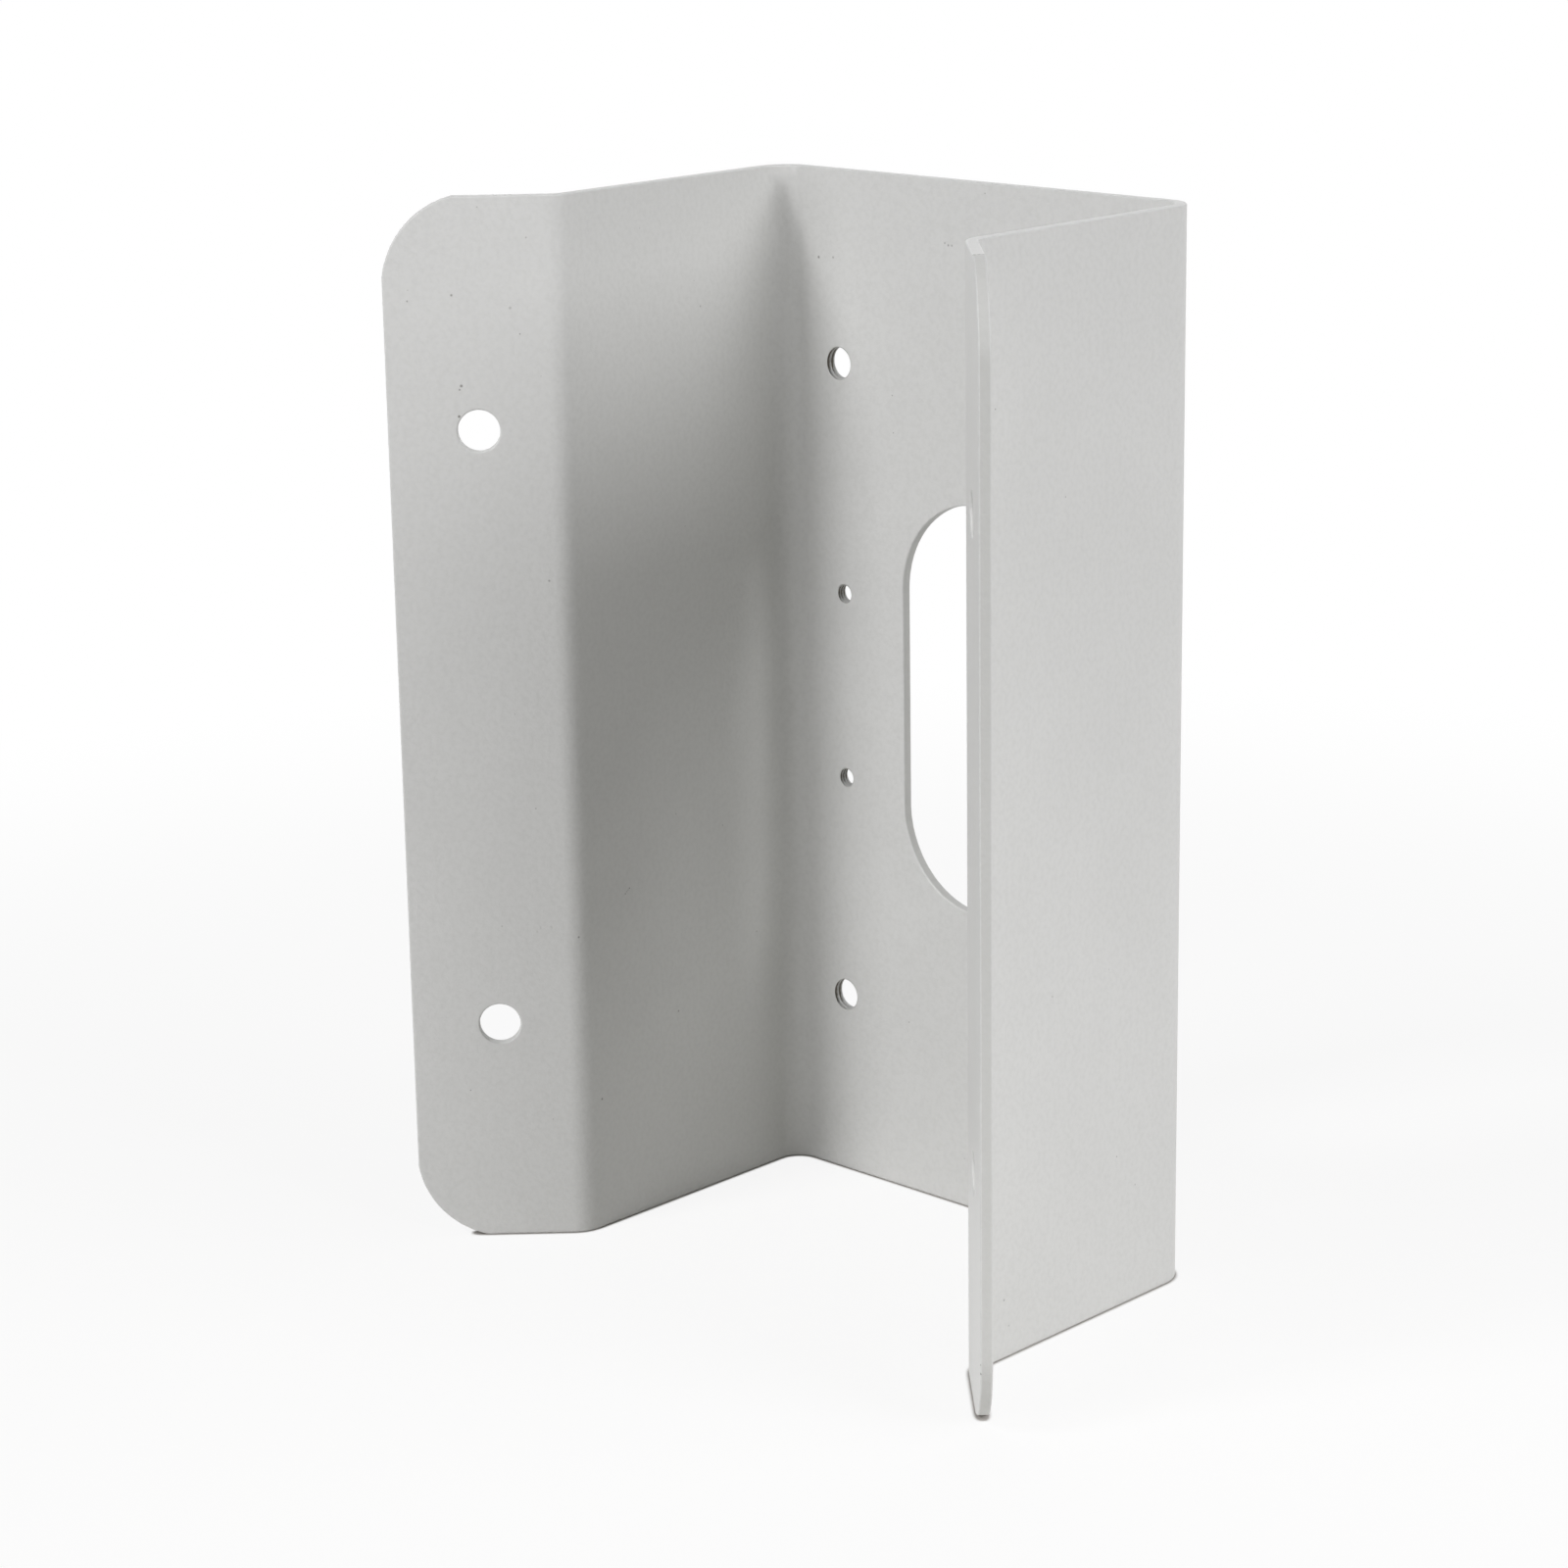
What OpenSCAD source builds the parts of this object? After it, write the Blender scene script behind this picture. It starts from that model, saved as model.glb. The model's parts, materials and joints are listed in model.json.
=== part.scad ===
// Corner mount bracket, folded from one sheet of steel.
// Seen from above it is a hat: a plate at the front, a web going back from each
// side of it, and a wall flange splayed out from the end of each web, so that the
// two flanges lie on the two walls of a building's outside corner.
// Z is up along the folds, X runs across the plate, and the walls are at +Y.

/* [Sheet] */
// Height of the bracket, along the folds
height = 231; // [190:1:300]
// Thickness of the sheet
sheet_t = 2.5; // [1.5:0.1:4]
// Radius on the hollow side of every fold
fold_r = 5.5; // [3:0.5:7]

/* [Plate and webs] */
// Width over the outer faces of the two webs
plate_w = 117; // [110:1:160]
// Depth from the plate's outer face to the line where web and flange meet
web_d = 69; // [45:1:95]

/* [Wall flanges] */
// Angle between the two walls of the building's corner
wall_angle = 90; // [80:1:100]
// Length from the line where web and flange meet to the free edge
flange_l = 36.5; // [34:0.5:60]
// Radius of each rounded corner
corner_r = 20; // [10:0.5:24]
// How far the corner's full circle stands out past the free edge
corner_past_edge = 0.2; // [0.1:0.1:1]
// How far the corner's full circle stands out past the top or bottom edge
corner_past_end = 0.6; // [0.1:0.1:1]

/* [Wall bolt holes] */
// Diameter of the four holes for the wall bolts
wall_hole_d = 9; // [6:0.5:12]
// Distance from each wall bolt hole's centre to the free edge
wall_hole_edge = 19.2; // [14:0.1:22]
// Height between the two wall bolt holes of a flange
wall_hole_rise = 132; // [90:1:140]

/* [Arm bolt holes] */
// Diameter of the four tapped holes for the camera's wall arm
arm_hole_d = 7; // [4:0.5:9]
// Width between the arm bolt holes
arm_hole_run = 80; // [60:0.5:84]
// Height between the arm bolt holes
arm_hole_rise = 146; // [120:0.5:160]

/* [Small tapped holes] */
// Diameter of the four small tapped holes beside the slot
small_hole_d = 4; // [2.5:0.1:6]
// Width between the small holes
small_hole_run = 78; // [60:0.5:84]
// Height between the small holes
small_hole_rise = 42.5; // [20:0.5:70]

/* [Cable slot] */
// Width of the slot, which is also the diameter of its round ends
slot_w = 43; // [20:0.5:48]
// Height of the slot from end to end
slot_h = 92; // [60:1:100]

/* [Hidden] */
$fn = 96;
// How far a cutting shape stands out of the sheet
past = 1;
// How far a fold's arcs reach past touching the flats, so that they cross them
hair = 0.001;
// Turn of each flange out of its web
flange_turn = wall_angle / 2;
// Radii of a fold on its full side and half way through the sheet
fold_outer_r = fold_r + sheet_t;
fold_mid_r = fold_r + sheet_t / 2;
// Length of web, and of flange, that the fold between them takes up
flange_setback = fold_r * tan(flange_turn / 2);
// Depth over all, from the plate's outer face to the flanges' free edges
depth = web_d + flange_l * cos(flange_turn) + sheet_t * sin(flange_turn);

// The two folds of the +X side: centre x, centre y, the angle that each starts at, its turn
PLATE_FOLD = [plate_w / 2 - fold_outer_r, fold_outer_r, -90, 90];
FLANGE_FOLD = [plate_w / 2 + fold_r, web_d - flange_setback, 180 - flange_turn, flange_turn];

// A point at a distance from a fold's centre, in a direction
function around(fold, r, angle) = [fold[0] + r * cos(angle), fold[1] + r * sin(angle)];

// The kite between a fold's centre and the sharp corner of two flats at radius r
function kite(fold, r) = [
    [fold[0], fold[1]],
    around(fold, r, fold[2]),
    around(fold, r / cos(fold[3] / 2), fold[2] + fold[3] / 2),
    around(fold, r, fold[2] + fold[3])
];

// Both sides of the bracket from the one on +X
module both_sides() {
    children();
    mirror([1, 0, 0]) children();
}

// Both ends of the bracket from the top one
module both_ends() {
    children();
    translate([0, 0, height]) mirror([0, 0, 1]) children();
}

// What lies in a fold's kite outside its arc
module outside_arc(fold, kite_r, arc_r) {
    difference() {
        polygon(kite(fold, kite_r));
        translate([fold[0], fold[1]]) circle(r = arc_r + hair);
    }
}

// The sheet's section with sharp corners, seen from above
module sharp_section() {
    along = [sin(flange_turn), cos(flange_turn)];
    to_wall = [-cos(flange_turn), sin(flange_turn)];
    tip = [plate_w / 2, web_d] + flange_l * along;
    side = [
        [plate_w / 2, 0],
        [plate_w / 2, web_d],
        tip,
        tip + sheet_t * to_wall,
        [plate_w / 2 - sheet_t, web_d + sheet_t * tan(flange_turn / 2)],
        [plate_w / 2 - sheet_t, sheet_t]
    ];
    polygon(concat(side, [for (i = [len(side) - 1:-1:0]) [-side[i][0], side[i][1]]]));
}

// The sheet's section with its four folds rounded on both faces
module section() {
    difference() {
        union() {
            sharp_section();
            both_sides()
                for (fold = [PLATE_FOLD, FLANGE_FOLD])
                    outside_arc(fold, fold_mid_r, fold_r);
        }
        both_sides()
            for (fold = [PLATE_FOLD, FLANGE_FOLD])
                outside_arc(fold, fold_outer_r + past, fold_outer_r);
    }
}

// A round hole through the sheet along Y, at x and height z
module sheet_hole(d, x, z) {
    translate([x, -past, z])
        rotate([-90, 0, 0])
            cylinder(d = d, h = sheet_t + 2 * past);
}

// Four holes at the corners of a rectangle about the plate's middle
module hole_rectangle(d, run, rise) {
    for (x = [-run / 2, run / 2], z = [-rise / 2, rise / 2])
        sheet_hole(d, x, height / 2 + z);
}

// The slot for the camera's cables, round at both ends
module cable_slot() {
    straight = slot_h - slot_w;
    for (z = [-straight / 2, straight / 2])
        sheet_hole(slot_w, 0, height / 2 + z);
    translate([-slot_w / 2, -past, height / 2 - straight / 2])
        cube([slot_w, sheet_t + 2 * past, straight]);
}

// All the openings of the plate
module plate_openings() {
    hole_rectangle(arm_hole_d, arm_hole_run, arm_hole_rise);
    hole_rectangle(small_hole_d, small_hole_run, small_hole_rise);
    cable_slot();
}

// The sheet that a rounded top corner leaves out of a flange
module corner_waste() {
    mid_x = flange_l + corner_past_edge - corner_r;
    mid_z = height + corner_past_end - corner_r;
    difference() {
        translate([mid_x, -past, mid_z])
            cube([corner_r + past, sheet_t + 2 * past, corner_r + past]);
        sheet_hole(2 * corner_r, mid_x, mid_z);
    }
}

// What is cut from a flange, where X runs from its web to its free edge and the wall is at +Y
module flange_openings() {
    for (z = [-wall_hole_rise / 2, wall_hole_rise / 2])
        sheet_hole(wall_hole_d, flange_l - wall_hole_edge, height / 2 + z);
    both_ends() corner_waste();
}

// The whole bracket in one piece, standing on its lower end
module bracket() {
    color([0.78, 0.78, 0.76])
        translate([0, -depth / 2, 0])
            difference() {
                linear_extrude(height) section();
                plate_openings();
                both_sides()
                    translate([plate_w / 2, web_d, 0])
                        rotate([0, 0, 90 - flange_turn])
                            flange_openings();
            }
}

bracket();
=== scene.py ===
# %% [markdown]
# # A corner bracket, folded from one sheet of steel
# The real bracket starts as a flat blank. A laser cuts its outline and its openings,
# eight holes are tapped, a press folds it four times, and it is powder coated.
# This script follows the same steps. The blank is a grid of points in two flat
# coordinates, the openings are cut into that grid, one function folds it, and a
# material lays the paint on. First it loads the measured model, which fixes where
# everything is, and keeps its box.

# %% Load the measured bracket
import json
import math
from collections import namedtuple

import bmesh
import bpy
import numpy as np
from mathutils import Matrix, Vector


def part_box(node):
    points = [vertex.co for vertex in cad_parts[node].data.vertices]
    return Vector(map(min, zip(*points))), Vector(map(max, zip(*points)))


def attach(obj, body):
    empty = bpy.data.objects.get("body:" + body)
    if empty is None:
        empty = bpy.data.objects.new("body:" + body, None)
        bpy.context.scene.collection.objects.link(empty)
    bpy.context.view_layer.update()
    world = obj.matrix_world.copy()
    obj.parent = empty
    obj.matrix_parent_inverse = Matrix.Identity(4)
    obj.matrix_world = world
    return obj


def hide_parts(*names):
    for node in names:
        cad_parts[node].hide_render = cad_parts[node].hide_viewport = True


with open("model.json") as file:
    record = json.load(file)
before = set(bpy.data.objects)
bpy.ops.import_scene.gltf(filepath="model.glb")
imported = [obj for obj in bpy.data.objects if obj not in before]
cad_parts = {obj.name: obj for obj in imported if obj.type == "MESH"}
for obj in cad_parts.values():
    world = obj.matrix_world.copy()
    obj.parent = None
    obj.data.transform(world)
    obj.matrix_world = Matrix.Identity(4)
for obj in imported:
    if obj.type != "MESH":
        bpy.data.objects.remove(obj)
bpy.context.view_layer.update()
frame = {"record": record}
low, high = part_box("bracket")
print("bracket box in mm:", [round(1000 * side) for side in high - low])

# %% [markdown]
# Lengths here are written in millimetres and multiplied by MM, because Blender works
# in metres. The box of the measured bracket gives its height, width and depth. What
# the box can't tell is written down: the sheet's thickness, the fold radius, the
# flanges, their rounded corners and the slot. The plate and the webs then follow from
# both.

# %% Sizes of the folded sheet
MM = 0.001
SHEET = 2.5 * MM
FOLD_RADIUS = 5.5 * MM
FLANGE_TURN = math.radians(45)
FLANGE_LENGTH = 36.5 * MM
CORNER_RADIUS = 20 * MM
CORNER_PAST_EDGE = 0.2 * MM
CORNER_PAST_END = 0.6 * MM
SLOT_WIDTH = 43 * MM
SLOT_HEIGHT = 92 * MM

HALF_HEIGHT = (high.z - low.z) / 2
MID_HEIGHT = (high.z + low.z) / 2
PLATE_HALF = high.x - FLANGE_LENGTH * math.sin(FLANGE_TURN)
WEB_DEPTH = high.y - low.y - FLANGE_LENGTH * math.cos(FLANGE_TURN) - SHEET * math.sin(FLANGE_TURN)
print(f"plate {2 * PLATE_HALF / MM:.1f} mm wide, webs {WEB_DEPTH / MM:.1f} mm deep")

# %% [markdown]
# The camera comes first, so that every later step can be judged in the same view. It
# looks into the channel from the wall's side, a little from above. A long lens and a
# place nearly a metre away keep the folds close to parallel. The view is written as
# the point that it looks at, a distance, two angles and a small roll.

# %% Camera
VIEW_POINT = Vector((5.7, 9.2, 110.2)) * MM
VIEW_DISTANCE = 840 * MM
VIEW_AZIMUTH = math.radians(223.94)
VIEW_ELEVATION = math.radians(15.381)
VIEW_ROLL = math.radians(-0.903)
LENS, SENSOR_WIDTH = 91.93, 36

towards_camera = Vector((
    math.sin(VIEW_AZIMUTH) * math.cos(VIEW_ELEVATION),
    -math.cos(VIEW_AZIMUTH) * math.cos(VIEW_ELEVATION),
    math.sin(VIEW_ELEVATION),
))
camera = bpy.data.objects.new("camera", bpy.data.cameras.new("camera"))
bpy.context.scene.collection.objects.link(camera)
turned = towards_camera.to_track_quat("Z", "Y").to_matrix() @ Matrix.Rotation(VIEW_ROLL, 3, "Z")
camera.matrix_world = Matrix.LocRotScale(VIEW_POINT + VIEW_DISTANCE * towards_camera, turned, None)
camera.data.sensor_width = SENSOR_WIDTH
camera.data.lens = LENS
bpy.context.scene.camera = camera
print("camera stands at", [round(v / MM) for v in camera.matrix_world.translation], "mm")

# %% [markdown]
# A press brake bends sheet round a nose, and the middle of the sheet keeps its length
# while the outside stretches and the hollow side shrinks. So the flat length of a fold
# is its angle times the radius half way through the sheet. Walking from the middle of
# the plate to a free edge, the sheet is flat, turns 90 degrees, is flat, turns back
# 45 degrees and is flat again. These stations say where each stretch starts.

# %% Stations along the flat blank
MID_RADIUS = FOLD_RADIUS + SHEET / 2
SETBACK = FOLD_RADIUS * math.tan(FLANGE_TURN / 2)
PLATE_END = PLATE_HALF - FOLD_RADIUS - SHEET
WEB_START = PLATE_END + MID_RADIUS * math.pi / 2
WEB_END = WEB_START + WEB_DEPTH - SETBACK - FOLD_RADIUS - SHEET
FLANGE_START = WEB_END + MID_RADIUS * FLANGE_TURN
FREE_EDGE = FLANGE_START + FLANGE_LENGTH - SETBACK
print(f"flat blank: {2 * FREE_EDGE / MM:.1f} x {2 * HALF_HEIGHT / MM:.1f} mm")

# %% [markdown]
# Folding could be done with an armature or a Simple Deform modifier, but a sheet's
# fold is plain geometry: the point reached after walking a length along the sheet.
# The function below adds up the flat stretches and the arcs for whole arrays of
# points at once, and then steps through the thickness along the sheet's normal.
# Mirroring the sign of the first coordinate gives the other half for free.

# %% Fold the blank
def fold_sheet(across, up, through):
    """Places points of the flat blank on the folded bracket.
    across is the distance from the middle of the plate, up the height from the middle,
    and through the depth into the sheet from its outer face. The middle of the sheet
    is the integral of its direction: straight stretches, plus arcs that add radius
    times sine along the old direction and radius times one minus cosine across it."""
    walked = np.abs(across)
    first = np.clip((walked - PLATE_END) / MID_RADIUS, 0, math.pi / 2)
    second = np.clip((walked - WEB_END) / MID_RADIUS, 0, FLANGE_TURN)
    web = np.clip(walked - WEB_START, 0, WEB_END - WEB_START)
    flange = np.clip(walked - FLANGE_START, 0, None)
    turn = first - second
    x = (np.minimum(walked, PLATE_END) + MID_RADIUS * np.sin(first)
         + MID_RADIUS * (1 - np.cos(second)) + flange * math.sin(FLANGE_TURN))
    y = (MID_RADIUS * (1 - np.cos(first)) + web
         + MID_RADIUS * np.sin(second) + flange * math.cos(FLANGE_TURN))
    step = through - SHEET / 2
    x = np.sign(across) * (x - step * np.sin(turn))
    y = low.y + SHEET / 2 + y + step * np.cos(turn)
    return np.stack(np.broadcast_arrays(x, y, MID_HEIGHT + up), -1)


tip = fold_sheet(np.array(FREE_EDGE), np.array(0.0), np.array(0.0))
print("free edge lands", round(float(tip[0] - high.x) / MM, 4), "mm from the box's side")

# %% [markdown]
# Where each hole goes is already in the model's record, as bolt patterns. Reading them
# from there keeps the picture and the measured part in step. Each opening notes its
# middle on the blank, its radius, half the length of its straight part, and the pitch
# of its thread, which is zero for a plain hole. Coarse threads for screws of 8 mm and
# 5 mm have pitches of 1.25 mm and 0.8 mm.

# %% Openings of the blank
ARM_PITCH = 1.25 * MM
SMALL_PITCH = 0.8 * MM
Opening = namedtuple("Opening", "across up radius straight pitch")
patterns = {mount["name"]: mount for mount in frame["record"]["mounts"]}


def tapped_holes(name, pitch):
    """The four holes of a rectangular pattern in the plate."""
    size = patterns[name]["dims"]
    half_run, half_rise = size["spacing_x_mm"] * MM / 2, size["spacing_y_mm"] * MM / 2
    return [Opening(side * half_run, end * half_rise, size["hole_r_mm"] * MM, 0.0, pitch)
            for side in (-1, 1) for end in (-1, 1)]


def wall_holes(name, side):
    """The two plain holes of a flange. Their middle is known on the flange's wall face."""
    mount = patterns[name]
    half_rise = mount["dims"]["pcd_mm"] * MM / 2
    from_plate = abs(mount["pos_m"][0]) + SHEET * math.cos(FLANGE_TURN) - PLATE_HALF
    across = FREE_EDGE - FLANGE_LENGTH + from_plate / math.sin(FLANGE_TURN)
    return [Opening(side * across, end * half_rise, mount["dims"]["hole_r_mm"] * MM, 0.0, 0.0)
            for end in (-1, 1)]


slot = Opening(0.0, 0.0, SLOT_WIDTH / 2, (SLOT_HEIGHT - SLOT_WIDTH) / 2, 0.0)
arm_holes = tapped_holes("arm_bolts", ARM_PITCH)
small_holes = tapped_holes("small_screws", SMALL_PITCH)
flange_holes = wall_holes("wall_bolts_left", 1) + wall_holes("wall_bolts_right", -1)
openings = [slot] + arm_holes + small_holes + flange_holes
for opening in openings[::4]:
    print("opening at", [round(v / MM, 2) for v in opening[:2]], "radius", round(opening.radius / MM, 2))

# %% [markdown]
# The blank could be drawn as a curve and filled, but a fill gives long thin triangles
# that shade badly on the folds. A grid of columns and rows gives clean four-sided
# faces, so the columns follow the folds and lie closer near the holes. All of it is
# worked out for an inset: the same blank, drawn a little smaller all round. That is
# used later to round the paint over the cut edge.

# %% Columns and rows of the blank
HOLE_ROOM = 8 * MM
SLOT_ROOM = (28 * MM, 52 * MM)
CORNER_STEPS = 18
CORNER_ACROSS = FREE_EDGE + CORNER_PAST_EDGE - CORNER_RADIUS
CORNER_UP = HALF_HEIGHT + CORNER_PAST_END - CORNER_RADIUS
ARM_ACROSS, ARM_UP = arm_holes[-1][:2]
SMALL_UP = small_holes[-1].up
WALL_ACROSS, WALL_UP = flange_holes[1][:2]


def lines(start, *stops):
    """Positions from start through the stops. A stop is (its position, the steps to it)."""
    runs = [np.array([start])]
    for end, steps in stops:
        runs.append(np.linspace(runs[-1][-1], end, steps + 1)[1:])
    return np.concatenate(runs)


def both_ways(half):
    """Positions from the middle outwards, with their mirror image before them."""
    return np.concatenate([-half[:0:-1], half])


def columns(inset):
    """Columns of the blank. The last ones divide the rounded corner by equal angles."""
    radius = CORNER_RADIUS - inset
    kink = math.acos((HALF_HEIGHT - inset - CORNER_UP) / radius)
    last = math.asin((FREE_EDGE - inset - CORNER_ACROSS) / radius)
    straight = lines(
        0.0, (SLOT_ROOM[0], 10), (ARM_ACROSS - HOLE_ROOM, 2), (ARM_ACROSS + HOLE_ROOM, 12),
        (PLATE_END, 2), (WEB_START, 14), (WEB_END, 14), (FLANGE_START, 8),
        (WALL_ACROSS - HOLE_ROOM, 3), (CORNER_ACROSS + radius * math.sin(kink), 9))
    curved = CORNER_ACROSS + radius * np.sin(np.linspace(kink, last, CORNER_STEPS + 1)[1:])
    return both_ways(np.concatenate([straight, curved]))


def rows(inset):
    """Rows of the blank, closer together beside the holes."""
    return both_ways(lines(
        0.0, (SMALL_UP - HOLE_ROOM, 5), (SMALL_UP + HOLE_ROOM, 12), (SLOT_ROOM[1], 8),
        (WALL_UP - HOLE_ROOM, 2), (ARM_UP + HOLE_ROOM, 18), (HALF_HEIGHT - inset, 12)))


print(len(columns(0)), "columns and", len(rows(0)), "rows")

# %% [markdown]
# The two free edges end in rounded corners. Instead of cutting them off, the rows
# above the arm holes are squeezed under the outline: the straight end of the blank,
# or the corner's circle where that is lower. The circle stands a little proud of both
# edges, as it does on the real bracket, and so leaves a small kink at each end.

# %% Outline of the blank
LEVEL_ROWS = 84 * MM


def blank(inset):
    """Flat coordinates (across, up) of the whole blank, as two grids.
    Past LEVEL_ROWS a row keeps its share of the way from there up to the outline. The
    corner's outline is its middle's height, plus the root of the radius squared less
    the distance across from its middle squared."""
    across, up = np.meshgrid(columns(inset), rows(inset), indexing="ij")
    radius = CORNER_RADIUS - inset
    past = np.clip(np.abs(across) - CORNER_ACROSS, 0, radius)
    top = np.minimum(HALF_HEIGHT - inset, CORNER_UP + np.sqrt(radius ** 2 - past ** 2))
    share = (np.abs(up) - LEVEL_ROWS) / (HALF_HEIGHT - inset - LEVEL_ROWS)
    squeezed = np.sign(up) * (LEVEL_ROWS + share * (top - LEVEL_ROWS))
    return across, np.where(share > 0, squeezed, up)


def border(grid):
    """The outer entries of a grid, once round, as one closed row."""
    return np.concatenate([grid[:-1, 0], grid[-1, :-1], grid[:0:-1, -1], grid[0, :0:-1]])


def outline(inset):
    """The blank's outline as a closed row of flat points."""
    return np.stack([border(part) for part in blank(inset)], -1)


print("outline of", len(outline(0)), "points, up to", round(outline(0)[:, 1].max() / MM, 3), "mm")

# %% [markdown]
# A hole in a grid of four-sided faces is made by leaving out a block of cells and
# filling the block with a collar: rings that change from the block's border to the
# opening's own outline. One rule serves the round holes and the slot. For a point on
# the border, take the nearest point of the opening's spine, and go out from there by
# the radius. A round hole's spine has no length, and the slot's runs up its straight.

# %% Collars round the openings
COLLAR_RINGS = 6


def opening_outline(opening, around, radius):
    """Points at a distance from an opening's spine, towards each of the points around."""
    nearest_up = np.clip(around[:, 1], opening.up - opening.straight, opening.up + opening.straight)
    spine = np.stack([np.full(len(around), opening.across), nearest_up], -1)
    out = around - spine
    return spine + radius * out / np.linalg.norm(out, axis=1, keepdims=True)


def collar(opening, around, radius):
    """Rings from the opening's outline to the block's border, closer near the outline:
    each point is the outline's, plus the square of the ring's share of the way out."""
    edge = opening_outline(opening, around, radius)
    share = np.linspace(0, 1, COLLAR_RINGS)[:, None, None] ** 2
    return edge + share * (around - edge)


def block(opening, across, up):
    """The columns and rows between which an opening's block lies, as two slices. The
    small holes share the column of cells that the arm holes set."""
    rooms = SLOT_ROOM if opening.straight else (HOLE_ROOM, HOLE_ROOM)
    middles = [0.0, ARM_ACROSS, WALL_ACROSS]
    middle = min(middles, key=lambda place: abs(place - abs(opening.across)))
    middle = math.copysign(middle, opening.across)
    column, row = across[:, 0], up[len(up) // 2]
    spans = []
    for line, place, room in ((column, middle, rooms[0]), (row, opening.up, rooms[1])):
        ends = [int(np.abs(line - place - side * room).argmin()) for side in (-1, 1)]
        spans.append(slice(ends[0], ends[1] + 1))
    return tuple(spans)


flat = blank(0)
print("cells left out for each opening:",
      [tuple(span.stop - span.start - 1 for span in block(o, *flat)) for o in openings[::4]])

# %% [markdown]
# A laser or a punch leaves square edges, and powder coat rounds them over. So the two
# skins of the sheet stop a little short of every edge, and a rim closes the gap: a
# quarter round, the cut face, and a second quarter round. The rim is one profile
# carried round a path, which here means drawing the same outline again at each inset
# and depth of the profile.

# %% Profile of the cut edges
PAINT_ROUND = 0.35 * MM
ROUND_STEPS = 5

bend = np.linspace(0, math.pi / 2, ROUND_STEPS)
round_inset = PAINT_ROUND * (1 - np.sin(bend))
round_depth = PAINT_ROUND * (1 - np.cos(bend))
edge_inset = np.concatenate([round_inset, round_inset[::-1]])
edge_depth = np.concatenate([round_depth, SHEET - round_depth[::-1]])
print("edge profile:", np.round(np.stack([edge_inset, edge_depth], -1)[:ROUND_STEPS] / MM, 3).tolist())

# %% [markdown]
# A tap cuts a helical groove. Looked at round the hole and through the sheet, that
# groove is a wave that moves on by one pitch for each turn, so it can be written as a
# depth that depends on those two parameters. A screw modifier would make the same
# groove, but then it would have to be joined to the hole's mouth by hand. The groove
# fades near both faces, where the mouth is rounded a little. Its depth is a share of
# the pitch. The wave is stretched past its range and cut off, so that crests and roots
# come out flat, as on a real thread.

# %% Thread of a tapped hole
THREAD_DEPTH = 0.5
THREAD_STEPS = 40
WAVE_STRETCH, CREST_FLAT = 1.4, 0.2
MOUTH_ROUND = 0.08 * MM


def groove(turn, depth, pitch):
    """How deep a thread is cut at a place, from 0 on its crest to 1 at its root.
    It is a triangle wave of the depth over the pitch plus the turn over a circle, cut
    off flat at both ends, and faded to nothing at the two faces of the sheet."""
    phase = (depth / pitch + turn / (2 * math.pi)) % 1
    wave = np.clip(WAVE_STRETCH * (1 - np.abs(2 * phase - 1)) - CREST_FLAT, 0, 1)
    return wave * np.clip(np.minimum(depth, SHEET - depth) / MOUTH_ROUND, 0, 1)


def mouth_inset(depth):
    """How far the quarter rounds at a tapped hole's two mouths widen it at a depth."""
    to_face = np.clip(np.minimum(depth, SHEET - depth) / MOUTH_ROUND, 0, 1)
    return MOUTH_ROUND * (1 - np.sqrt(1 - (1 - to_face) ** 2))


quarters = np.arange(4) * math.pi / 2
print("groove at half depth, on four sides:", groove(quarters, SHEET / 2, ARM_PITCH).round(2))

# %% [markdown]
# Every surface of the bracket is now a grid of points with two parameters, so a single
# function can turn a grid into faces. It can leave out cells, as for the blocks, and
# it can close a grid round on itself, as for the rims. Each face also notes which
# finish it has: paint, paint over a cut edge, or bare tapped steel.

# %% From grids to faces
PAINTED, CUT, TAPPED = 0, 1, 2


def patch(points, finish=PAINTED, closed=False, keep=None):
    """A surface from a grid of points: its points, its four-sided faces, their finish.
    keep says which cells stay, and closed joins the last column to the first."""
    numbers = np.arange(points[..., 0].size).reshape(points.shape[:2])
    if closed:
        numbers = np.concatenate([numbers, numbers[:, :1]], 1)
    faces = np.stack([numbers[:-1, :-1], numbers[1:, :-1], numbers[1:, 1:], numbers[:-1, 1:]], -1)
    finishes = np.broadcast_to(finish, faces.shape[:2])
    if keep is None:
        keep = np.ones(faces.shape[:2], bool)
    used, faces = np.unique(faces[keep], return_inverse=True)
    return points.reshape(-1, 3)[used], faces.reshape(-1, 4), finishes[keep]


def mouth_radius(opening):
    """Radius at which an opening meets the faces of the sheet."""
    return opening.radius + (MOUTH_ROUND if opening.pitch else PAINT_ROUND)


def skin(depth):
    """One face of the sheet at a depth, with a collar in each opening's block."""
    across, up = blank(PAINT_ROUND)
    keep = np.ones((across.shape[0] - 1, across.shape[1] - 1), bool)
    patches = []
    for opening in openings:
        span = block(opening, across, up)
        keep[span[0].start:span[0].stop - 1, span[1].start:span[1].stop - 1] = False
        around = np.stack([border(across[span]), border(up[span])], -1)
        rings = collar(opening, around, mouth_radius(opening))
        patches.append(patch(fold_sheet(rings[..., 0], rings[..., 1], depth), closed=True))
    return [patch(fold_sheet(across, up, depth), keep=keep)] + patches


skins = skin(0.0) + skin(SHEET)
print(len(skins), "patches,", sum(len(faces) for _, faces, _ in skins), "faces on the two sides")
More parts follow.
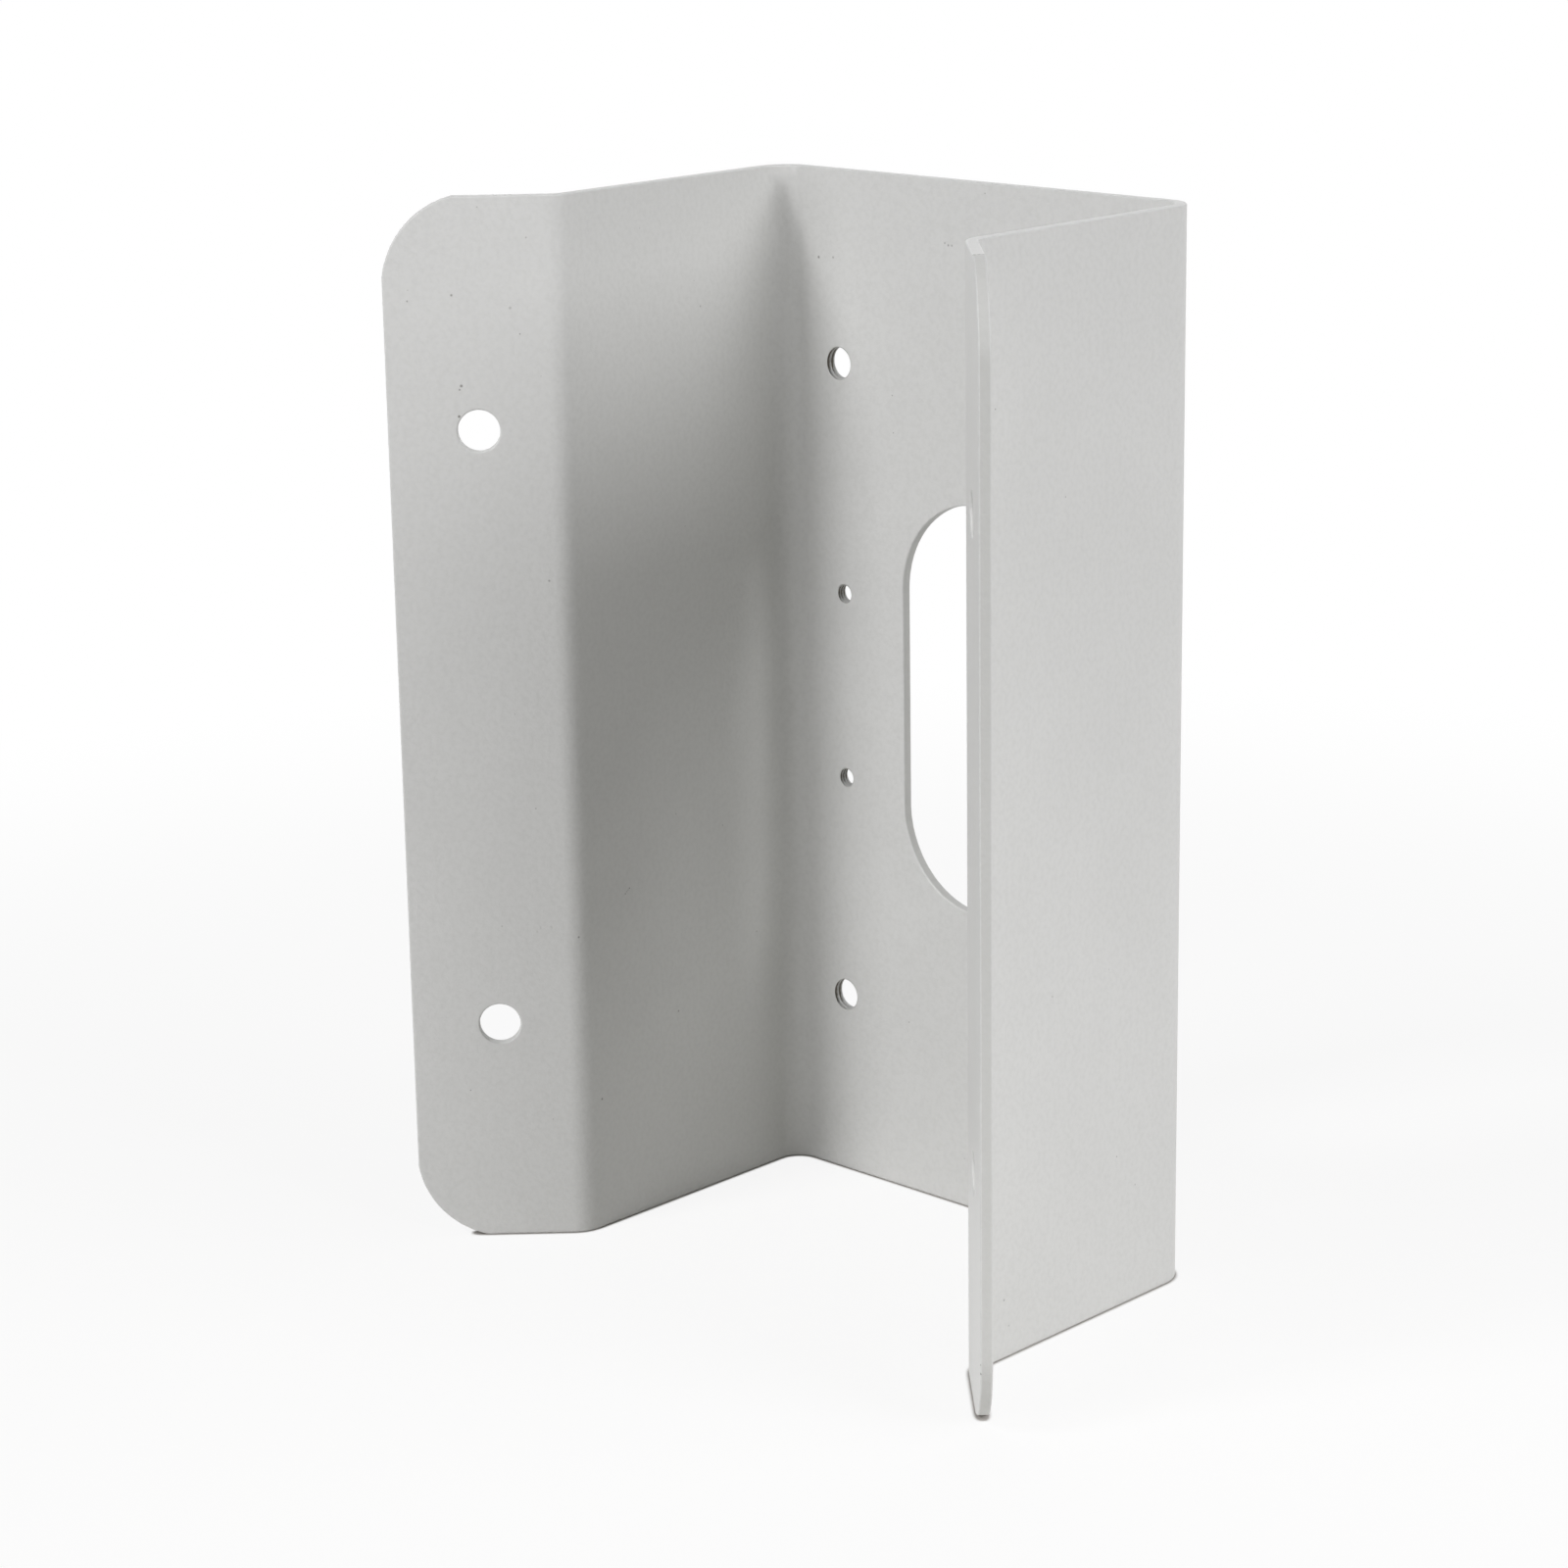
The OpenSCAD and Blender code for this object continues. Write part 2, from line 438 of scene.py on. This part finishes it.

# %% [markdown]
# The rims follow the same pattern. The outline's rim draws the blank at each inset of
# the profile. An opening's rim draws the opening a little wider instead, and a tapped
# hole adds its groove, with one ring for each step of depth. Paint covers the crests of
# the threads. The deeper part of each groove is drawn as dark bare steel, partly as
# painted shade in the roots, and on the lower side of each hole, where the light falls
# in, the grooves take the paint's colour instead, as painted light.

# %% Rims of the outline and the openings
# Grooves deeper than this share are drawn dark, as painted shade, and on the lower side, where light falls
# in, they keep the paint's colour, as painted light.
SHADED_GROOVE_DEPTH = 0.35
LIT_SIDE_PAINT = 1.3
LIT_SIDE_START = 0.3
edge_finish = np.full((2 * ROUND_STEPS - 1, 1), PAINTED)
edge_finish[ROUND_STEPS - 1] = CUT


def outline_rim():
    """The cut edge all round the blank."""
    rings = [fold_sheet(*outline(inset).T, depth) for inset, depth in zip(edge_inset, edge_depth)]
    return patch(np.stack(rings), edge_finish, closed=True)


def opening_rim(opening):
    """The wall of one opening, plain or with its thread."""
    across, up = blank(PAINT_ROUND)
    span = block(opening, across, up)
    around = np.stack([border(across[span]), border(up[span])], -1)
    depths, finish = edge_depth, edge_finish
    insets = np.broadcast_to(edge_inset[:, None], (len(depths), len(around)))
    if opening.pitch:
        depths = np.linspace(0, SHEET, THREAD_STEPS + 1)
        turn = np.arctan2(around[:, 1] - opening.up, around[:, 0] - opening.across)
        cut = groove(turn[None, :], depths[:, None], opening.pitch)
        insets = mouth_inset(depths)[:, None] + THREAD_DEPTH * opening.pitch * cut
        # Painted light and shade: the lower side of the hole keeps paint colour deeper into the grooves.
        pale_groove_depth = SHADED_GROOVE_DEPTH + LIT_SIDE_PAINT * np.clip(-np.sin(turn) - LIT_SIDE_START, 0, None)
        finish = np.where((cut[1:] + cut[:-1]) / 2 > pale_groove_depth, TAPPED, PAINTED)
    rings = [opening_outline(opening, around, opening.radius + inset[:, None]) for inset in insets]
    rings = np.stack(rings)
    return patch(fold_sheet(rings[..., 0], rings[..., 1], depths[:, None]), finish, closed=True)


rims = [outline_rim()] + [opening_rim(opening) for opening in openings]
print(len(rims), "rims,", sum(len(faces) for _, faces, _ in rims), "faces")

# %% [markdown]
# The patches meet point on point, because neighbours come from the same formulas. They
# go into one mesh, where merging by distance sews them together, and the faces are
# then turned to point outwards. The flat faces should look flat right up to their
# rounded edges, so a Weighted Normal modifier lets the large faces lead the shading.

# %% Sew the sheet together
WELD = 0.001 * MM


def sew(name, patches):
    """One closed mesh object from patches that touch."""
    starts = np.cumsum([0] + [len(points) for points, _, _ in patches[:-1]])
    points = np.concatenate([points for points, _, _ in patches])
    faces = np.concatenate([faces + start for (_, faces, _), start in zip(patches, starts)])
    mesh = bpy.data.meshes.new(name)
    mesh.from_pydata(points, [], faces.tolist())
    mesh.polygons.foreach_set("material_index", np.concatenate([finish for _, _, finish in patches]))
    sewn = bmesh.new()
    sewn.from_mesh(mesh)
    bmesh.ops.remove_doubles(sewn, verts=sewn.verts, dist=WELD)
    bmesh.ops.recalc_face_normals(sewn, faces=sewn.faces)
    open_edges = sum(not edge.is_manifold for edge in sewn.edges)
    volume = sewn.calc_volume(signed=True)
    sewn.to_mesh(mesh)
    sewn.free()
    mesh.shade_smooth()
    piece = bpy.data.objects.new(name, mesh)
    bpy.context.scene.collection.objects.link(piece)
    print(f"{name}: {len(mesh.polygons)} faces, {open_edges} open edges, {volume / MM ** 3:.0f} mm3")
    return piece


bracket = sew("folded_sheet", skins + rims)
bracket.modifiers.new("flat faces lead", "WEIGHTED_NORMAL")
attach(bracket, "root")
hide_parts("bracket")

# %% [markdown]
# Materials are built from nodes. Three small helpers keep that short: one turns a
# written sRGB colour into the linear values that Blender works with, one starts an
# empty material, and one adds any node with its settings and whatever its inputs are
# linked to or set to.

# %% Helpers for materials
MIX_A, MIX_B, MIX_RESULT = 6, 7, 2  # sockets of a Mix node that mixes colours


def linear(hex_colour):
    """An sRGB hex colour as linear red, green, blue and an alpha of 1."""
    values = np.array([int(hex_colour[i:i + 2], 16) for i in (1, 3, 5)]) / 255
    values = np.where(values <= 0.04045, values / 12.92, ((values + 0.055) / 1.055) ** 2.4)
    return (*values.tolist(), 1.0)


def node(material, kind, inputs, **settings):
    """Adds a node. inputs maps a socket's name or number to a value or another socket."""
    added = material.node_tree.nodes.new(kind)
    for name, value in settings.items():
        setattr(added, name, value)
    for name, value in inputs.items():
        if isinstance(value, bpy.types.NodeSocket):
            material.node_tree.links.new(value, added.inputs[name])
        else:
            added.inputs[name].default_value = value
    return added


def new_material(name):
    """A node material that has no nodes yet."""
    material = bpy.data.materials.new(name)
    material.use_nodes = True
    material.node_tree.nodes.clear()
    return material


print("linear value of #808080:", round(linear("#808080")[0], 4))

# %% [markdown]
# A painted part from a box of them is never spotless. This one has dust pits, a nick at
# a hole, a short scratch and a few dents, and the paint is broken in places along the
# free edge of one flange. Each mark is listed where it lies on the blank: its distance
# across, its height and its depth in the sheet, its radius, and how much it shows.
# fold_sheet then says where it is on the bracket.

# %% Marks in the paint
Mark = namedtuple("Mark", "across up through radius show")
INSIDE, OUTSIDE = SHEET / MM, 0.0
MARK_CORE = 0.3
DARK_MARKS = [
    # Dust pits on the left flange and the left web
    Mark(144.9, 94.9, INSIDE, 0.35, 0.7), Mark(154.2, 93.8, INSIDE, 0.28, 0.6),
    Mark(132.7, 92.0, INSIDE, 0.40, 0.4), Mark(128.9, 106.7, INSIDE, 0.25, 0.5),
    Mark(138.9, 113.2, INSIDE, 0.22, 0.4), Mark(126.3, 33.4, INSIDE, 0.33, 0.6),
    Mark(122.7, -46.6, INSIDE, 0.32, 0.7), Mark(93.8, -70.9, INSIDE, 0.32, 0.7),
    Mark(118.2, -85.3, INSIDE, 0.35, 0.8), Mark(82.2, 87.3, INSIDE, 0.28, 0.5),
    # A larger smear above the upper wall hole, and a nick on that hole's edge
    Mark(143.5, 75.7, INSIDE, 0.42, 0.8), Mark(143.9, 74.9, INSIDE, 0.30, 0.7),
    Mark(144.2, 69.2, INSIDE, 0.40, 0.9),
    # A short scratch across the left web
    Mark(109.4, -39.7, INSIDE, 0.24, 0.8), Mark(108.9, -39.3, INSIDE, 0.20, 0.6),
    Mark(108.5, -39.0, INSIDE, 0.20, 0.6), Mark(108.1, -38.7, INSIDE, 0.26, 0.8),
    # Two pits near the foot of the right web
    Mark(-114.7, -102.6, OUTSIDE, 0.35, 0.5), Mark(-113.2, -108.7, OUTSIDE, 0.28, 0.4),
    # Small scuffs high on the plate
    Mark(45.6, 95.9, INSIDE, 0.40, 0.8), Mark(41.3, 96.2, INSIDE, 0.36, 0.5),
    Mark(8.7, 102.0, INSIDE, 0.32, 0.5), Mark(7.7, 101.6, INSIDE, 0.36, 0.6),
    Mark(6.7, 101.6, INSIDE, 0.32, 0.5),
    # Broken paint along the right flange's free edge, and at the kink of its top corner
    Mark(-159.4, -82.4, INSIDE, 0.22, 0.5), Mark(-159.4, -84.1, INSIDE, 0.20, 0.4),
    Mark(-159.4, -87.9, INSIDE, 0.24, 0.6), Mark(-159.4, -89.2, INSIDE, 0.22, 0.6),
    Mark(-159.4, -91.0, INSIDE, 0.25, 0.7), Mark(-159.1, -98.6, INSIDE, 0.26, 0.8),
    Mark(-158.9, -100.6, INSIDE, 0.34, 1.0), Mark(-144.2, 115.4, 2.1, 0.48, 0.8),
    Mark(-144.0, 115.4, 1.2, 0.52, 0.9), Mark(-143.9, 115.4, 0.5, 0.45, 0.8),
]
DENTS = [
    Mark(131.1, -44.9, INSIDE, 0.45, 1.0), Mark(130.4, -44.1, INSIDE, 0.40, 0.8),
    Mark(128.5, -44.2, INSIDE, 0.60, -1.0), Mark(128.1, -43.8, INSIDE, 0.35, 1.0),
    Mark(-108.4, 56.4, OUTSIDE, 0.55, 1.0), Mark(-90.6, 53.0, OUTSIDE, 0.45, -0.7),
    Mark(8.0, 101.9, INSIDE, 0.70, 1.0), Mark(6.9, 101.5, INSIDE, 0.50, 0.8),
    Mark(43.6, 95.9, INSIDE, 0.70, 0.6),
]


def mark_pattern(material, place, marks):
    """The sum of all marks at a place, each fading from its middle to its radius."""
    total = 0.0
    for mark in marks:
        middle = fold_sheet(np.array(mark.across * MM), np.array(mark.up * MM), np.array(mark.through * MM))
        away = node(material, "ShaderNodeVectorMath", {0: place, 1: middle.tolist()}, operation="DISTANCE")
        fade = node(material, "ShaderNodeMapRange", {
            "Value": away.outputs["Value"], "From Min": MARK_CORE * mark.radius * MM,
            "From Max": mark.radius * MM, "To Min": mark.show, "To Max": 0.0})
        total = node(material, "ShaderNodeMath", {
            0: total, 1: fade.outputs["Result"]}, operation="ADD").outputs[0]
    return total


print(len(DARK_MARKS), "dark marks and", len(DENTS), "dents")

# %% [markdown]
# The finish is polyester powder coat: dry powder, sprayed on and baked. It melts into
# a thin satin skin, slightly wavy like orange peel, with a fine grain on top and a few
# dark specks from dust in the oven. It is a plastic, so it isn't metallic and its IOR
# stays at 1.5. The peel and the grain only bend the reflections, so they are bumps,
# and the specks are cells of a Voronoi pattern that the surface happens to cut. The
# pits of the grain are drawn a little darker, as painted shade for the small shadows
# that the bumps alone don't show. Over the cut edges the paint is drawn darker, as
# painted shade, and it shows the rough cut as higher grain. The real grain is about
# 0.3 mm wide, too fine to show in a picture of this size, so it is drawn between three
# and four times as wide, and higher in step.

# %% Powder coat
PAINT_COLOUR = "#D3D3D0"
PAINT_SHADE = "#CBCBC8"
# The cut edges' two colours are darker than the paint's: painted shade.
CUT_PAINTED_SHADE_COLOUR = "#C8C8C4"
CUT_PAINTED_SHADE_TONE = "#C0C0BC"
# The pits' colour and share are painted shade: the grain's pits are drawn darker.
PIT_PAINTED_SHADE_COLOUR = "#B9B9B5"
PIT_PAINTED_SHADE_SHARE = 0.2
PIT_RANGE = (0.30, 0.60)
ROUGHNESS_RANGE = (0.40, 0.52)
PAINT_IOR = 1.5
CLOUD_WIDTH = 40 * MM
SPECK_COLOUR = "#6B6963"
PEEL_WIDTH = 2.4 * MM
PEEL_HEIGHT = 0.02 * MM
GRAIN_WIDTH = 1.1 * MM
GRAIN_HEIGHT = 0.08 * MM
CUT_GRAIN_HEIGHT = 0.12 * MM
SPECK_SPACING = 9 * MM
SPECK_RADIUS = 0.22 * MM
SPECK_CORE = 0.5
SPECK_SHOW = 0.6
DENT_DEPTH = 0.06 * MM


def powder_coat(name, colour_hex, shade_hex, grain_height):
    """Satin light grey powder coat over steel, with its specks, marks and dents."""
    coat = new_material(name)
    place = node(coat, "ShaderNodeTexCoord", {}).outputs["Object"]
    cloud = node(coat, "ShaderNodeTexNoise", {"Vector": place, "Scale": 1 / CLOUD_WIDTH, "Detail": 2.0})
    peel = node(coat, "ShaderNodeTexNoise", {"Vector": place, "Scale": 1 / PEEL_WIDTH, "Detail": 1.0})
    grain = node(coat, "ShaderNodeTexNoise", {"Vector": place, "Scale": 1 / GRAIN_WIDTH, "Detail": 2.0})
    dust = node(coat, "ShaderNodeTexVoronoi", {"Vector": place, "Scale": 1 / SPECK_SPACING})
    speck = node(coat, "ShaderNodeMapRange", {
        "Value": dust.outputs["Distance"], "From Min": SPECK_CORE * SPECK_RADIUS / SPECK_SPACING,
        "From Max": SPECK_RADIUS / SPECK_SPACING, "To Min": SPECK_SHOW, "To Max": 0.0})
    marks = mark_pattern(coat, place, DARK_MARKS)
    dark = node(coat, "ShaderNodeMath", {
        0: speck.outputs["Result"], 1: marks}, operation="ADD", use_clamp=True)
    tint = node(coat, "ShaderNodeMix", {
        0: cloud.outputs["Fac"], MIX_A: linear(colour_hex), MIX_B: linear(shade_hex)},
        data_type="RGBA")
    # Painted shade: the pits of the grain are mixed towards a darker colour.
    pit_shade = node(coat, "ShaderNodeMapRange", {
        "Value": grain.outputs["Fac"], "From Min": PIT_RANGE[0], "From Max": PIT_RANGE[1],
        "To Min": PIT_PAINTED_SHADE_SHARE, "To Max": 0.0})
    grain_shaded_colour = node(coat, "ShaderNodeMix", {
        0: pit_shade.outputs["Result"], MIX_A: tint.outputs[MIX_RESULT], MIX_B: linear(PIT_PAINTED_SHADE_COLOUR)},
        data_type="RGBA")
    colour = node(coat, "ShaderNodeMix", {
        0: dark.outputs[0], MIX_A: grain_shaded_colour.outputs[MIX_RESULT], MIX_B: linear(SPECK_COLOUR)},
        data_type="RGBA")
    gloss = node(coat, "ShaderNodeMapRange", {
        "Value": grain.outputs["Fac"], "To Min": ROUGHNESS_RANGE[0], "To Max": ROUGHNESS_RANGE[1]})
    wavy = node(coat, "ShaderNodeBump", {
        "Height": peel.outputs["Fac"], "Strength": 1.0, "Distance": PEEL_HEIGHT})
    grainy = node(coat, "ShaderNodeBump", {
        "Height": grain.outputs["Fac"], "Strength": 1.0, "Distance": grain_height,
        "Normal": wavy.outputs["Normal"]})
    dented = node(coat, "ShaderNodeBump", {
        "Height": mark_pattern(coat, place, DENTS), "Strength": 1.0, "Distance": DENT_DEPTH,
        "Normal": grainy.outputs["Normal"]}, invert=True)
    shader = node(coat, "ShaderNodeBsdfPrincipled", {
        "Base Color": colour.outputs[MIX_RESULT], "Roughness": gloss.outputs["Result"],
        "IOR": PAINT_IOR, "Normal": dented.outputs["Normal"]})
    node(coat, "ShaderNodeOutputMaterial", {"Surface": shader.outputs["BSDF"]})
    return coat


bracket.data.materials.append(
    powder_coat("powder_coated_steel", PAINT_COLOUR, PAINT_SHADE, GRAIN_HEIGHT))
# The cut edges' material has the darker colours, as painted shade, and higher grain.
bracket.data.materials.append(
    powder_coat("powder_coat_cut_edge_painted_shade", CUT_PAINTED_SHADE_COLOUR, CUT_PAINTED_SHADE_TONE, CUT_GRAIN_HEIGHT))
print("paint bumps:", PEEL_WIDTH / MM, "mm peel,", GRAIN_WIDTH / MM, "mm grain")

# %% [markdown]
# The grooves of the threads are nearly bare mild steel: a metal, darkened by oil and
# partly as painted shade for the roots of the thread, with the fine ridges that a tap
# leaves along its turn. A metal's colour is its reflection, so the base colour is the
# grey of steel and the roughness is high.

# %% Bare tapped steel
TAPPED_COLOUR = "#7B766D"
TAPPED_SHADE = "#5C5851"
TAP_MARK_WIDTH = 0.12 * MM
TAP_MARK_HEIGHT = 0.01 * MM
TAPPED_METALLIC, TAPPED_ROUGHNESS = 0.8, 0.5


def tapped_steel(name):
    """Oily bare steel with tool marks."""
    steel = new_material(name)
    place = node(steel, "ShaderNodeTexCoord", {}).outputs["Object"]
    marks = node(steel, "ShaderNodeTexNoise", {"Vector": place, "Scale": 1 / TAP_MARK_WIDTH, "Detail": 2.0})
    colour = node(steel, "ShaderNodeMix", {
        0: marks.outputs["Fac"], MIX_A: linear(TAPPED_COLOUR), MIX_B: linear(TAPPED_SHADE)},
        data_type="RGBA")
    ridged = node(steel, "ShaderNodeBump", {
        "Height": marks.outputs["Fac"], "Strength": 1.0, "Distance": TAP_MARK_HEIGHT})
    shader = node(steel, "ShaderNodeBsdfPrincipled", {
        "Base Color": colour.outputs[MIX_RESULT], "Metallic": TAPPED_METALLIC,
        "Roughness": TAPPED_ROUGHNESS, "Normal": ridged.outputs["Normal"]})
    node(steel, "ShaderNodeOutputMaterial", {"Surface": shader.outputs["BSDF"]})
    return steel


bracket.data.materials.append(tapped_steel("bare_tapped_steel"))
print("materials on the sheet:", [material.name for material in bracket.data.materials])

# %% [markdown]
# The studio is a white table and a white room. The table's material shows plain white
# to the camera and to mirror-like rays, mixed with a share of its true shade to keep
# the bracket's soft shadow. That share fades out away from the bracket, where there is
# no shadow to keep. In the narrow crevice under an edge that stands on the table, the
# true shade is whole, and its colour is drawn darker there as painted shade, so each
# edge gets a dark line at its foot that follows its light: dark under the left web,
# faint under the lit faces. The true shade turns darker away from the bracket too, like
# a white board on a dull bench: what the board throws back is then strong at the
# bracket's foot and weak at its top. The world does the same as the table: white where
# the camera looks past it, and dim as light on the bracket. The table and the lamps are
# large, so their lengths are in metres.

# %% Table and world
TABLE_HALF = 3.0
BOARD_COLOUR = "#F0EFEC"
BENCH_COLOUR = "#5F5E5C"
BOARD_REACH = (0.15, 0.55)
SHADOW_SHARE = 0.12
# The crevice colour is painted shade: it darkens the table's own shade at the bracket's foot.
CREVICE_PAINTED_SHADE_COLOUR = "#B6B2AD"
CREVICE = 1.5 * MM
CREVICE_RANGE = (0.55, 0.85)
WHITE = (1, 1, 1, 1)
WORLD_LIGHT = 0.025


def seen_directly(material):
    """1 for camera, glossy and transmission rays, 0 for the light that a surface gathers."""
    rays = node(material, "ShaderNodeLightPath", {})
    mirror = node(material, "ShaderNodeMath", {
        0: rays.outputs["Is Glossy Ray"], 1: rays.outputs["Is Transmission Ray"]}, operation="MAXIMUM")
    return node(material, "ShaderNodeMath", {
        0: rays.outputs["Is Camera Ray"], 1: mirror.outputs[0]}, operation="MAXIMUM").outputs[0]


def white_table(name):
    """Matt white board that shows as white and still takes a shadow."""
    board = new_material(name)
    place = node(board, "ShaderNodeTexCoord", {}).outputs["Object"]
    reach = node(board, "ShaderNodeVectorMath", {0: place}, operation="LENGTH")
    far = node(board, "ShaderNodeMapRange", {
        "Value": reach.outputs["Value"], "From Min": BOARD_REACH[0], "From Max": BOARD_REACH[1]},
        interpolation_type="SMOOTHSTEP")
    plain = node(board, "ShaderNodeMapRange", {
        "Value": far.outputs["Result"], "To Min": 1 - SHADOW_SHARE, "To Max": 1.0})
    shade = node(board, "ShaderNodeMix", {
        0: far.outputs["Result"], MIX_A: linear(BOARD_COLOUR), MIX_B: linear(BENCH_COLOUR)},
        data_type="RGBA")
    sky = node(board, "ShaderNodeAmbientOcclusion", {"Distance": CREVICE})
    free = node(board, "ShaderNodeMapRange", {
        "Value": sky.outputs["AO"], "From Min": CREVICE_RANGE[0], "From Max": CREVICE_RANGE[1]})
    open_share = node(board, "ShaderNodeMath", {
        0: plain.outputs["Result"], 1: free.outputs["Result"]}, operation="MULTIPLY")
    # Painted shade: near the foot the table's colour turns to the darker crevice colour.
    crevice_shade_colour = node(board, "ShaderNodeMix", {
        0: free.outputs["Result"], MIX_A: linear(CREVICE_PAINTED_SHADE_COLOUR), MIX_B: shade.outputs[MIX_RESULT]},
        data_type="RGBA")
    share = node(board, "ShaderNodeMath", {
        0: seen_directly(board), 1: open_share.outputs[0]}, operation="MULTIPLY")
    matt = node(board, "ShaderNodeBsdfDiffuse", {"Color": crevice_shade_colour.outputs[MIX_RESULT]})
    white = node(board, "ShaderNodeEmission", {"Color": WHITE, "Strength": 1.0})
    both = node(board, "ShaderNodeMixShader", {
        0: share.outputs[0], 1: matt.outputs[0], 2: white.outputs[0]})
    node(board, "ShaderNodeOutputMaterial", {"Surface": both.outputs[0]})
    return board


table_mesh = bpy.data.meshes.new("table")
corners = [(-1, -1), (1, -1), (1, 1), (-1, 1)]
table_mesh.from_pydata([(x * TABLE_HALF, y * TABLE_HALF, low.z) for x, y in corners], [], [(0, 1, 2, 3)])
table = bpy.data.objects.new("table", table_mesh)
bpy.context.scene.collection.objects.link(table)
table.data.materials.append(white_table("white_table"))

world = bpy.data.worlds.new("white_room")
world.use_nodes = True
world.node_tree.nodes.clear()
room_light = node(world, "ShaderNodeMapRange", {
    "Value": seen_directly(world), "To Min": WORLD_LIGHT, "To Max": 1.0})
air = node(world, "ShaderNodeBackground", {"Color": WHITE, "Strength": room_light.outputs["Result"]})
node(world, "ShaderNodeOutputWorld", {"Surface": air.outputs[0]})
bpy.context.scene.world = world
print("world light", WORLD_LIGHT)

# %% [markdown]
# Each lamp is a square area light that looks at the middle of the bracket, placed by an
# azimuth, an elevation and a distance. The key comes from the right, over the right web,
# and leaves a soft slanting shadow edge on the left one. The high key, further round to
# the front, lights the upper edges. Three fills stand behind the camera's left shoulder:
# a low one reaches the plate past the left web, and the high one throws that web's
# shadow on the plate, narrow at the top and wider below. A low card brightens the foot
# of the right web, and a wide, weak rim light behind the bracket draws its top edges as
# a thin bright line. A strength is written as the white level of a surface that faces
# the lamp at the bracket, which is easier to judge than watts. The lamps are a little
# cool, so that lit faces look neutral and faces lit by other faces look warmer.

# %% Lamps
Lamp = namedtuple("Lamp", "azimuth elevation distance side level")
LAMPS = {
    "key": Lamp(275, 26, 1.4, 0.65, 0.57),
    "high_key": Lamp(304, 40, 1.4, 0.65, 0.20),
    "fill": Lamp(170, 8, 1.4, 0.40, 0.275),
    "middle_fill": Lamp(178, 20, 1.4, 0.40, 0.15),
    "high_fill": Lamp(162, 40, 1.4, 0.30, 0.395),
    "low_card": Lamp(275, -12, 0.36, 0.06, 0.07),
    "rim_light": Lamp(43, 14, 1.4, 1.20, 0.22),
}
LAMP_COLOUR = "#FCFCFF"
middle_of_bracket = (low + high) / 2


def soft_box(name, place):
    """A square lamp that the camera doesn't see. Its light spreads by the cosine rule,
    so its power is its level times pi squared times its distance squared."""
    azimuth, elevation = math.radians(place.azimuth), math.radians(place.elevation)
    away = Vector((
        math.sin(azimuth) * math.cos(elevation),
        -math.cos(azimuth) * math.cos(elevation),
        math.sin(elevation),
    ))
    lamp = bpy.data.objects.new(name, bpy.data.lights.new(name, "AREA"))
    lamp.data.shape = "SQUARE"
    lamp.data.color = linear(LAMP_COLOUR)[:3]
    lamp.data.size = place.side
    lamp.data.energy = place.level * math.pi ** 2 * place.distance ** 2
    lamp.visible_camera = False
    turned = away.to_track_quat("Z", "Y").to_matrix()
    lamp.matrix_world = Matrix.LocRotScale(middle_of_bracket + place.distance * away, turned, None)
    bpy.context.scene.collection.objects.link(lamp)
    return lamp


for name, place in LAMPS.items():
    lamp = soft_box(name, place)
    print(name, round(lamp.data.energy, 1), "W")

# %% [markdown]
# The colours are written as they should look, so the view transform is Standard, which
# leaves them alone.

# %% Finish
bpy.context.scene.view_settings.view_transform = "Standard"
